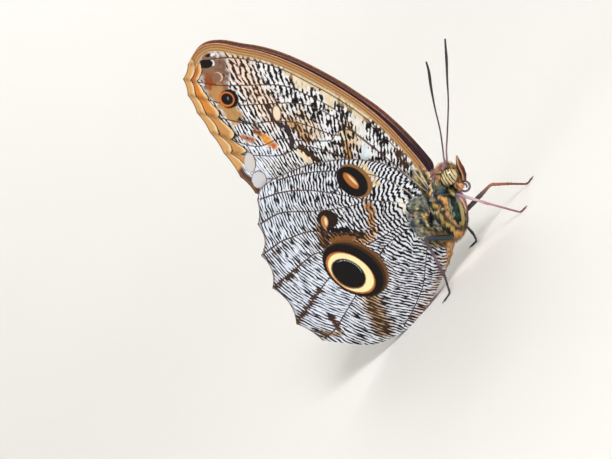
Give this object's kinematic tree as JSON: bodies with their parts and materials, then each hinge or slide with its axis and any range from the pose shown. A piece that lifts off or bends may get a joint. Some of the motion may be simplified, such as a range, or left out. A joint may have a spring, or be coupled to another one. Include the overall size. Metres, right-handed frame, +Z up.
{
  "type": "owl butterfly",
  "caption": "Life-size owl butterfly at rest on its feet, wings closed over its back, with veined wings, eyes, feelers, palps and coiled tongue.",
  "frame": {"origin": "on the floor under the middle of the butterfly's bounding box", "axes": "+X forward through the head, +Y to the insect's left, +Z up along the closed wings"},
  "size_m": [0.0856, 0.0242, 0.0927],
  "materials": {
    "body_hair": "short dark green-black and golden-tan hair",
    "eye_surface": "glossy cream with dark slanting stripes",
    "forewing_scales": "matt scales, fine dark and pale stripes with tan leading edge and ochre margin",
    "hindwing_scales": "matt scales, fine black and bluish-white stripes with large yellow-ringed eyespot",
    "feeler_and_leg_shell": "dull dark brown to mauve shell"
  },
  "bodies": {
    "root": {"head": "body_hair", "thorax": "body_hair", "abdomen": "body_hair", "palp_left": "body_hair", "palp_right": "body_hair", "eye_left": "eye_surface", "eye_right": "eye_surface", "forewing_left": "forewing_scales", "forewing_right": "forewing_scales", "hindwing_left": "hindwing_scales", "hindwing_right": "hindwing_scales", "antenna_left": "feeler_and_leg_shell", "antenna_right": "feeler_and_leg_shell", "proboscis": "feeler_and_leg_shell", "foreleg_left": "feeler_and_leg_shell", "foreleg_right": "feeler_and_leg_shell", "midleg_left": "feeler_and_leg_shell", "midleg_right": "feeler_and_leg_shell", "hindleg_left": "feeler_and_leg_shell", "hindleg_right": "feeler_and_leg_shell"}
  },
  "joints": []
}
